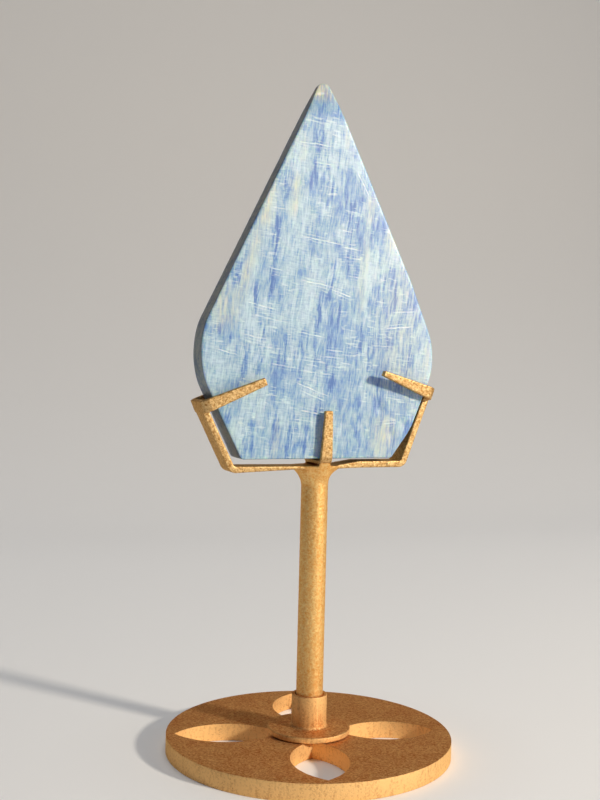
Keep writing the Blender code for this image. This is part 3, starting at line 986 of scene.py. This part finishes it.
half = PRONG_OUTSIDE - PRONG_THICKNESS / 2.0
floor_of_stone = stone_low.z / MM - STONE_GAP - PRONG_THICKNESS / 2.0
prongs = bent_strip(
    "prong_pair",
    [
        (PRONG_ROOT_X, -half, PRONG_TOP),
        (PRONG_ROOT_X, -half, floor_of_stone),
        (PRONG_ROOT_X, half, floor_of_stone),
        (PRONG_ROOT_X, half, PRONG_TOP),
    ],
    PRONG_BEND,
    (PRONG_ROOT, 0.0, 0.0),
    PRONG_THICKNESS,
    tip_width=PRONG_TIP,
    tip_shift=PRONG_TIP_X - PRONG_ROOT_X,
)
paint_coat(prongs, STRIP_VOXEL, 2, STRIP_GRAIN)
belongs(prongs, "holder", "cradle_gold", "prong_strip")

# %% [markdown]
# The rod is 9.5 mm bar. Its head is weld metal: it flares out like a trumpet under the cradle, more
# to the right, laps up the front and the back of the bar to its top, and runs out on the bend of
# each prong. The flare is extruded ring by ring, and a slanted wedge is set under each prong. Many
# rounds of smoothing, on the head alone, let them flow together as molten metal does.

# %% Rod and flare
ROD_RADIUS = 4.72
ROD_BOTTOM = 6.6
FLARE_START = 92.4
FLARE_TOP = 100.3
FLARE_STEPS = 12
HEAD_LEFT = 9.8
HEAD_RIGHT = 11.6
HEAD_HALF_Y = 7.0
ROD_VOXEL = 0.34 * MM
ROD_GRAIN = 0.12 * MM

rod = piece(
    "rod_with_weld",
    bpy.ops.mesh.primitive_cylinder_add,
    vertices=64,
    radius=ROD_RADIUS * MM,
    depth=(FLARE_START - ROD_BOTTOM) * MM,
    location=(0.0, 0.0, (FLARE_START + ROD_BOTTOM) / 2.0 * MM),
)
bpy.ops.object.mode_set(mode="EDIT")
height, left, right, half_y = FLARE_START, ROD_RADIUS, ROD_RADIUS, ROD_RADIUS
select_only(rod, "FACE", lambda face: face.normal.z > 0.9)
for step in range(1, FLARE_STEPS + 1):
    share = step / FLARE_STEPS
    next_height = FLARE_START + (FLARE_TOP - FLARE_START) * share
    next_left, next_right, next_y = (
        ROD_RADIUS + (reach - ROD_RADIUS) * share ** power
        for reach, power in ((HEAD_LEFT, 2.2), (HEAD_RIGHT, 3.2), (HEAD_HALF_Y, 2.4))
    )
    shift = (next_right - next_left) / 2.0 - (right - left) / 2.0
    bpy.ops.mesh.extrude_region_move(
        TRANSFORM_OT_translate={"value": (shift * MM, 0.0, (next_height - height) * MM)}
    )
    middle = Vector(((next_right - next_left) / 2.0, 0.0, next_height)) * MM
    growth = ((next_right + next_left) / (right + left), next_y / half_y, 1.0)
    bpy.ops.transform.resize(value=growth, center_override=middle)
    height, left, right, half_y = next_height, next_left, next_right, next_y
bpy.ops.object.mode_set(mode="OBJECT")
print("rod and flare with", len(rod.data.polygons), "faces")

# %% Wedges under the prongs
# For both wedges: y of the middle and z, at the foot and at the tip, then width and depth.
FILLET_FOOT = (3.4, 94.0)
FILLET_TIP = (8.75, 104.4)
FILLET_WIDTH = 4.4
FILLET_DEPTH = 2.0
FILLET_TIP_DEPTH = 1.1

for side in (-1.0, 1.0):
    middle = Vector((PRONG_ROOT_X, side * FILLET_FOOT[0], (FILLET_FOOT[1] + FILLET_TIP[1]) / 2.0)) * MM
    fillet = piece(
        "fillet",
        bpy.ops.mesh.primitive_cube_add,
        size=1.0,
        location=middle,
        scale=Vector((FILLET_WIDTH, FILLET_DEPTH, FILLET_TIP[1] - FILLET_FOOT[1])) * MM,
    )
    bpy.ops.object.mode_set(mode="EDIT")
    select_only(fillet, "VERT", lambda vertex: vertex.co.z > middle.z)
    bpy.ops.transform.resize(value=(1.0, FILLET_TIP_DEPTH / FILLET_DEPTH, 1.0), center_override=middle)
    bpy.ops.transform.translate(value=(0.0, side * (FILLET_TIP[0] - FILLET_FOOT[0]) * MM, 0.0))
    bpy.ops.object.mode_set(mode="OBJECT")
    join_into(rod, fillet)
print("with its wedges:", len(rod.data.polygons), "faces")

# %% Melt the weld together
MELT_FROM = 92.5
MELT_FADE = 2.0
MELT_ROUNDS = 30

use_modifier(rod, "REMESH", mode="VOXEL", voxel_size=ROD_VOXEL)
melt = rod.vertex_groups.new(name="melt")
for vertex in rod.data.vertices:
    share = min(max((vertex.co.z / MM - MELT_FROM) / MELT_FADE, 0.0), 1.0)
    melt.add([vertex.index], share, "REPLACE")
use_modifier(rod, "SMOOTH", factor=0.5, iterations=MELT_ROUNDS, vertex_group=melt.name)
rod.vertex_groups.clear()
paint_coat(rod, ROD_VOXEL, 2, ROD_GRAIN)
belongs(rod, "holder", "rod_gold", "post")

# %% [markdown]
# The socket is turned: a thin flange and a short tube in one. A lathe works on a profile, and so
# does spin. The profile is a thin upright rectangle of flange, from which the tube is extruded. Its
# corners are bevelled, and the outline is spun once round the axis.

# %% Socket
socket_low, socket_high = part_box("socket")
FLANGE_THICKNESS = 2.0 * MM
COLLAR_RADIUS = 6.2 * MM
BORE_RADIUS = 5.15 * MM
flange_radius = socket_high.x
flange_top = socket_low.z + FLANGE_THICKNESS

socket = piece(
    "socket_turned",
    bpy.ops.mesh.primitive_plane_add,
    size=1.0,
    location=((BORE_RADIUS + flange_radius) / 2.0, 0.0, (socket_low.z + flange_top) / 2.0),
    rotation=(math.radians(90.0), 0.0, 0.0),
    scale=(flange_radius - BORE_RADIUS, FLANGE_THICKNESS, 1.0),
)
bpy.ops.object.mode_set(mode="EDIT")
bpy.ops.mesh.select_all(action="SELECT")
bpy.ops.mesh.bisect(plane_co=(COLLAR_RADIUS, 0.0, 0.0), plane_no=(1.0, 0.0, 0.0), threshold=0.001 * MM)
select_only(socket, "EDGE", lambda edge: all(
    v.co.z > flange_top - 0.01 * MM and v.co.x < COLLAR_RADIUS + 0.01 * MM for v in edge.verts
))
bpy.ops.mesh.extrude_region_move(TRANSFORM_OT_translate={"value": (0.0, 0.0, socket_high.z - flange_top)})
# Corners to round: x, z and radius.
for x, z, radius in (
    (COLLAR_RADIUS, flange_top, 0.9 * MM),
    (COLLAR_RADIUS, socket_high.z, 0.35 * MM),
    (BORE_RADIUS, socket_high.z, 0.25 * MM),
    (flange_radius, flange_top, 0.45 * MM),
    (flange_radius, socket_low.z, 0.35 * MM),
):
    select_only(socket, "VERT", lambda v: (v.co - Vector((x, 0.0, z))).length < 0.02 * MM)
    bpy.ops.mesh.bevel(offset=radius, segments=5, affect="VERTICES", clamp_overlap=False)
bpy.ops.mesh.select_all(action="SELECT")
bpy.ops.mesh.delete(type="ONLY_FACE")
select_only(socket, "EDGE", lambda edge: not (
    abs(edge.verts[0].co.x - COLLAR_RADIUS) < 0.01 * MM
    and abs(edge.verts[1].co.x - COLLAR_RADIUS) < 0.01 * MM
    and min(v.co.z for v in edge.verts) < flange_top - 0.01 * MM
))
bpy.ops.mesh.spin(steps=128, angle=math.tau, center=(0.0, 0.0, 0.0), axis=(0.0, 0.0, 1.0))
bpy.ops.mesh.select_all(action="SELECT")
bpy.ops.mesh.remove_doubles(threshold=0.002 * MM)
bpy.ops.mesh.delete_loose()
bpy.ops.mesh.select_all(action="SELECT")
bpy.ops.mesh.normals_make_consistent()
bpy.ops.object.mode_set(mode="OBJECT")
bpy.ops.object.shade_smooth_by_angle(angle=math.radians(40.0))
belongs(socket, "foot", "foot_gold", "socket")
print("socket has", len(socket.data.polygons), "faces")

# %% [markdown]
# The foot is a disc of 6 mm plate, cut by plasma. Its four openings are pointed ovals: each is what
# two equal discs have in common, so the cutter is made in just that way. The arc of the torch
# leaves fine upright ribs on the walls, which the paint only half fills.

# %% Foot plate
plate_low, plate_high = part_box("base_plate")
PETAL_TURN = math.radians(-12.6)
PETAL_INNER = 10.5 * MM
# How far each opening reaches: front, right, back and left.
PETAL_OUTERS = (47.0 * MM, 44.8 * MM, 46.6 * MM, 47.0 * MM)
PETAL_WIDTH = 19.5 * MM
PETAL_LIP = 0.45 * MM

plate = piece(
    "foot_disc",
    bpy.ops.mesh.primitive_cylinder_add,
    vertices=256,
    radius=plate_high.x,
    depth=plate_high.z,
    location=(0.0, 0.0, plate_high.z / 2.0),
)


def oval_cutter(outer, turn):
    """A prism with the outline that two overlapping discs share."""
    half_length = (outer - PETAL_INNER) / 2.0
    half_width = PETAL_WIDTH / 2.0
    disc_radius = (half_length ** 2 + half_width ** 2) / (2.0 * half_width)
    middle = (outer + PETAL_INNER) / 2.0
    discs = []
    for side in (1.0, -1.0):
        place = Vector((side * (disc_radius - half_width), -middle, plate_high.z / 2.0))
        discs.append(piece(
            "disc",
            bpy.ops.mesh.primitive_cylinder_add,
            vertices=256,
            radius=disc_radius,
            depth=3.0 * plate_high.z,
            location=Matrix.Rotation(turn, 3, "Z") @ place,
            rotation=(0.0, 0.0, turn),
        ))
    use_modifier(discs[0], "BOOLEAN", object=discs[1], operation="INTERSECT")
    bpy.data.objects.remove(discs[1])
    return discs[0]


for number, outer in enumerate(PETAL_OUTERS):
    cutter = oval_cutter(outer, PETAL_TURN + math.radians(90.0) * number)
    use_modifier(plate, "BOOLEAN", object=cutter, operation="DIFFERENCE")
    bpy.data.objects.remove(cutter)

bpy.ops.object.select_all(action="DESELECT")
plate.select_set(True)
bpy.context.view_layer.objects.active = plate
bpy.ops.object.mode_set(mode="EDIT")
select_only(plate, "EDGE", lambda edge: len(edge.link_faces) == 2 and edge.calc_face_angle() > 1.2)
bpy.ops.mesh.bevel(offset=PETAL_LIP, segments=4, affect="EDGES", clamp_overlap=True)
bpy.ops.object.mode_set(mode="OBJECT")
bpy.ops.object.shade_smooth_by_angle(angle=math.radians(35.0))
belongs(plate, "foot", "foot_gold", "base_plate")
print("foot plate has", len(plate.data.polygons), "faces")

# %% [markdown]
# Gold spray enamel: bronze coloured mica flakes in a clear binder on steel. The flakes make it a
# metal to the eye, with a broad soft highlight, and they glitter in grains of some tenths of a
# millimetre, drawn here at 0.5 mm. One recipe gives three tones, the foot's the warmest and the
# rod's the palest; the rod's paler tone is painted light and the strips' darker tone is painted
# shade. At a grazing angle a metal turns grey white, and this paint doesn't, so its edge tint is
# gold. The foot's grain is long along Z, for the upright ribs that the torch leaves on cut walls,
# and those walls are painted lighter than its level faces, as painted light.

# %% Material: gold spray enamel
# What the grain starts from before it picks a tone between dark and light.
GRAIN_START = -0.42


def gold_enamel(name, dark, light, edge, roughness, grain_height, painted_wall_light=0.0):
    """Mica enamel; grain_height is how long the grain is along Z, in mm.

    The last argument is how much lighter upright walls are painted than level faces: painted light.
    """
    made, tree, shader = new_material(name)
    coordinates = add_node(tree, "ShaderNodeTexCoord")
    place = coordinates.outputs["Object"]
    facing = add_node(tree, "ShaderNodeSeparateXYZ", {}, {0: coordinates.outputs["Normal"]}).outputs["Z"]
    level = add_node(tree, "ShaderNodeMath", {"operation": "ABSOLUTE"}, {0: facing}).outputs["Value"]

    def grain_of(kind, across, height, **inputs):
        """A pattern whose grain has the given sizes in mm."""
        sized = add_node(
            tree,
            "ShaderNodeMapping",
            {"vector_type": "TEXTURE"},
            {"Vector": place, "Scale": (across * MM, across * MM, height * MM)},
        ).outputs["Vector"]
        return add_node(tree, kind, {}, {"Vector": sized, "Scale": 1.0, **inputs}).outputs["Color"]

    flakes = grain_of("ShaderNodeTexVoronoi", 0.5, 0.5)
    speckle = grain_of("ShaderNodeTexNoise", 0.9, grain_height, Detail=3.0)
    patches = grain_of("ShaderNodeTexNoise", 9.0, 9.0, Detail=2.0)
    # Upright walls start lighter than level faces: painted light, as the low light falls more on them.
    share = add_node(
        tree,
        "ShaderNodeMath",
        {"operation": "MULTIPLY_ADD"},
        {0: level, 1: -painted_wall_light, 2: painted_wall_light + GRAIN_START},
    ).outputs["Value"]
    for pattern, weight in ((speckle, 0.9), (flakes, 0.5), (patches, 0.3)):
        one = add_node(tree, "ShaderNodeSeparateColor", {}, {"Color": pattern}).outputs["Red"]
        share = add_node(
            tree, "ShaderNodeMath", {"operation": "MULTIPLY_ADD"}, {0: one, 1: weight, 2: share}
        ).outputs["Value"]
    tint = add_node(
        tree, "ShaderNodeMix", {"data_type": "RGBA"}, {0: share, 6: colour(dark), 7: colour(light)}
    ).outputs[2]
    tree.links.new(tint, shader.inputs["Base Color"])
    shader.inputs["Metallic"].default_value = 0.7
    shader.inputs["Specular Tint"].default_value = colour(edge)
    gloss = add_node(
        tree, "ShaderNodeMath", {"operation": "MULTIPLY_ADD"}, {0: share, 1: 0.15, 2: roughness}
    ).outputs["Value"]
    tree.links.new(gloss, shader.inputs["Roughness"])
    bump = add_node(
        tree, "ShaderNodeBump", {}, {"Strength": 0.6, "Distance": 0.14 * MM, "Height": share}
    ).outputs["Normal"]
    tree.links.new(bump, shader.inputs["Normal"])
    print(name, "with", len(tree.nodes), "nodes")
    return made


foot_gold = gold_enamel(
    "gold spray enamel on the foot",
    dark="#B4590C",
    light="#FFD592",
    edge="#E8A860",
    roughness=0.5,
    grain_height=6.0,
    painted_wall_light=0.6,
)
# The rod is painted paler than the strips, as painted light.
rod_gold = gold_enamel(
    "gold spray enamel on the rod",
    dark="#E8A048",
    light="#FFE4A0",
    edge="#F0C080",
    roughness=0.38,
    grain_height=0.9,
)
# The strips are painted darker, as painted shade for their shaded sides.
cradle_gold = gold_enamel(
    "gold spray enamel on the strips",
    dark="#A06C2C",
    light="#FCDCA0",
    edge="#F0C484",
    roughness=0.38,
    grain_height=0.9,
)
strips = [cradle, prongs, *(bpy.data.objects[f"claw_{side}_strip"] for side in CLAWS)]
for paint, items in ((foot_gold, [plate, socket]), (rod_gold, [rod]), (cradle_gold, strips)):
    for item in items:
        item.data.materials.clear()
        item.data.materials.append(paint)
